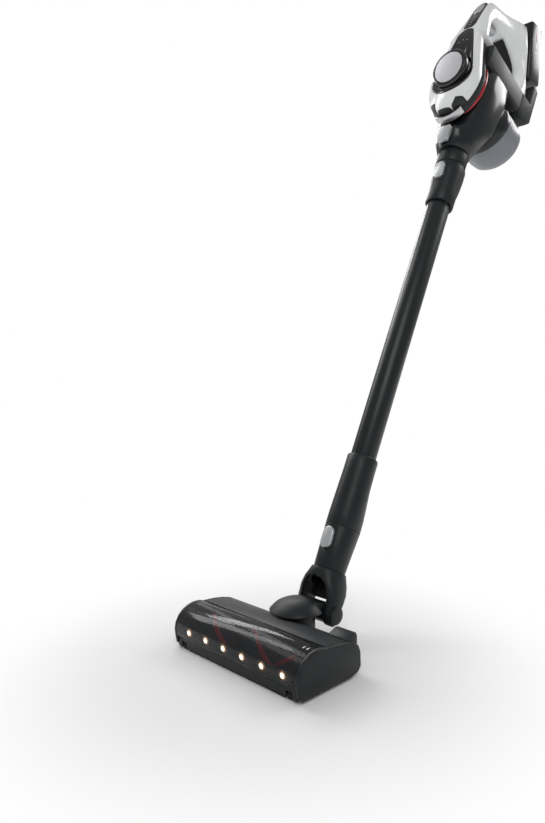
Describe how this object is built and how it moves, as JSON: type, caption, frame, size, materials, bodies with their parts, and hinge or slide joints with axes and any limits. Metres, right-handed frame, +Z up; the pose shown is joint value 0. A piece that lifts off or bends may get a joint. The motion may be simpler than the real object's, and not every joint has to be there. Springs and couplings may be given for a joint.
{
  "type": "cordless stick vacuum",
  "caption": "Cordless stick vacuum with a hand unit, clear dust cup, straight wand, jointed neck and a lit power nozzle with a roller brush.",
  "frame": {"origin": "on the floor, centred under the whole vacuum", "axes": "+Z up, -Y towards the front of the nozzle, X across the nozzle"},
  "size_m": [0.247, 0.7989, 1.0402],
  "materials": {
    "black": "satin black moulded plastic",
    "gloss_black": "high gloss",
    "dark_grey": "satin",
    "white": "gloss white",
    "light_grey": "satin",
    "silver": "silver lacquer on plastic",
    "red": "gloss red",
    "smoky": "smoky clear",
    "smoky_dark": "dark smoky clear",
    "clear": "grey clear",
    "tube": "satin black",
    "steel": "brushed",
    "rubber": "soft touch",
    "tyre": "matte",
    "bristle": "woven sleeve with bristle ridges",
    "felt": "felt",
    "filter": "pleated fleece",
    "board": "lacquered board",
    "lamp": "clear lens, lit"
  },
  "bodies": {
    "hand_unit": {"handle_shell": "white", "top_panel": "gloss_black", "control_panel": "gloss_black", "front_housing": "dark_grey", "red_trim_left": "red", "red_trim_right": "red", "motor_housing": "dark_grey", "suction_motor": "steel", "control_board": "board", "rear_grille": "black", "grip_insert": "rubber", "front_frame": "dark_grey", "front_step": "silver", "exhaust_filter": "filter"},
    "filter_cap": {"filter_cap": "silver"},
    "mode_button": {"mode_button": "silver"},
    "trigger": {"trigger": "light_grey"},
    "motor_fan": {"motor_fan": "silver"},
    "battery": {"battery_pack": "gloss_black"},
    "battery_button": {"battery_release_button": "red"},
    "container": {"dust_container": "smoky_dark", "inlet_pipe": "black", "cup_seal": "rubber", "cyclone_filter": "steel"},
    "dust_cup": {"dust_cup": "clear"},
    "container_button": {"container_release_button": "silver"},
    "wand": {"wand_tube": "tube", "wand_rail": "dark_grey", "lower_collar": "black", "upper_collar": "black"},
    "upper_button": {"upper_release_button": "silver"},
    "neck": {"neck_tube": "black", "neck_cuff": "black", "pivot_pin_left": "black", "pivot_pin_right": "black"},
    "lower_button": {"lower_release_button": "silver"},
    "turret": {"turret": "black"},
    "nozzle": {"nozzle_base": "black", "brush_cover": "smoky", "nozzle_deck": "black", "end_cap_left": "black", "end_cap_right": "black", "brush_bearing_left": "steel", "brush_bearing_right": "steel", "nozzle_motor": "steel", "drive_belt": "rubber", "led_board": "board", "led_lens_strip": "lamp", "rear_axle_left": "steel", "rear_axle_right": "steel", "front_felt_strip": "felt"},
    "brush": {"brush_core": "dark_grey", "brush_sleeve": "bristle"},
    "pulley": {"drive_pulley": "black"},
    "rear_wheel_left": {"rear_wheel_left": "tyre"},
    "rear_wheel_right": {"rear_wheel_right": "tyre"},
    "front_roller_left": {"front_roller_left": "tyre"},
    "front_roller_right": {"front_roller_right": "tyre"}
  },
  "joints": [
    {"name": "filter_cap_twist", "type": "hinge", "parent": "hand_unit", "child": "filter_cap", "pos_m": [0, 0.12124, 0.89575], "axis": [0, -0.9736, 0.2284], "range_deg": [0, 45]},
    {"name": "mode_press", "type": "slide", "parent": "hand_unit", "child": "mode_button", "axis": [0, 0.8862, -0.4633], "range_m": [0, 0.001], "stiffness_N_per_m": 400, "springref_m": -0.001},
    {"name": "trigger_pull", "type": "slide", "parent": "hand_unit", "child": "trigger", "axis": [0, 0.4633, 0.8862], "range_m": [0, 0.004], "stiffness_N_per_m": 300, "springref_m": -0.004},
    {"name": "fan_spin", "type": "hinge", "parent": "hand_unit", "child": "motor_fan", "pos_m": [0, 0.21851, 0.90696], "axis": [0, 0.8862, -0.4633], "continuous": true},
    {"name": "battery_slide", "type": "slide", "parent": "hand_unit", "child": "battery", "axis": [0, 0.1547, 0.988], "range_m": [0, 0.06]},
    {"name": "battery_release_press", "type": "slide", "parent": "battery", "child": "battery_button", "axis": [0, -0.1547, -0.988], "range_m": [0, 0.0025], "stiffness_N_per_m": 400, "springref_m": -0.001},
    {"name": "container_slide", "type": "slide", "parent": "hand_unit", "child": "container", "axis": [0, -0.4633, -0.8862], "range_m": [0, 0.05]},
    {"name": "cup_twist", "type": "hinge", "parent": "container", "child": "dust_cup", "pos_m": [0, 0.23943, 0.81252], "axis": [0, 0.8862, -0.4633], "range_deg": [0, 35]},
    {"name": "container_release_press", "type": "slide", "parent": "container", "child": "container_button", "axis": [0, 0.8862, -0.4633], "range_m": [0, 0.0025], "stiffness_N_per_m": 400, "springref_m": -0.001},
    {"name": "wand_slide", "type": "slide", "parent": "container", "child": "wand", "axis": [0, -0.4633, -0.8862], "range_m": [0, 0.031]},
    {"name": "upper_release_press", "type": "slide", "parent": "wand", "child": "upper_button", "axis": [0, 0.8862, -0.4633], "range_m": [0, 0.0025], "stiffness_N_per_m": 400, "springref_m": -0.001},
    {"name": "neck_slide", "type": "slide", "parent": "wand", "child": "neck", "axis": [0, -0.4633, -0.8862], "range_m": [0, 0.031]},
    {"name": "lower_release_press", "type": "slide", "parent": "neck", "child": "lower_button", "axis": [0, 0.8862, -0.4633], "range_m": [0, 0.0025], "stiffness_N_per_m": 400, "springref_m": -0.001},
    {"name": "neck_tilt", "type": "hinge", "parent": "neck", "child": "turret", "pos_m": [0, -0.23506, 0.03937], "axis": [1, 0, 0], "range_deg": [-25, 50]},
    {"name": "nozzle_swivel", "type": "hinge", "parent": "turret", "child": "nozzle", "pos_m": [0, -0.2765, 0.04], "axis": [0, 0, 1], "range_deg": [-40, 40]},
    {"name": "brush_spin", "type": "hinge", "parent": "nozzle", "child": "brush", "pos_m": [0, -0.3625, 0.0245], "axis": [1, 0, 0], "continuous": true},
    {"name": "pulley_spin", "type": "hinge", "parent": "nozzle", "child": "pulley", "pos_m": [0.0985, -0.32, 0.025], "axis": [1, 0, 0], "continuous": true},
    {"name": "rear_wheel_left_spin", "type": "hinge", "parent": "nozzle", "child": "rear_wheel_left", "pos_m": [-0.086, -0.301, 0.009], "axis": [1, 0, 0], "continuous": true},
    {"name": "rear_wheel_right_spin", "type": "hinge", "parent": "nozzle", "child": "rear_wheel_right", "pos_m": [0.086, -0.301, 0.009], "axis": [1, 0, 0], "continuous": true},
    {"name": "front_roller_left_spin", "type": "hinge", "parent": "nozzle", "child": "front_roller_left", "pos_m": [-0.104, -0.3907, 0.005], "axis": [1, 0, 0], "continuous": true},
    {"name": "front_roller_right_spin", "type": "hinge", "parent": "nozzle", "child": "front_roller_right", "pos_m": [0.104, -0.3907, 0.005], "axis": [1, 0, 0], "continuous": true}
  ],
  "couplings": [
    {"joint": "pulley_spin", "follows": "brush_spin", "ratio": 2.7273}
  ]
}
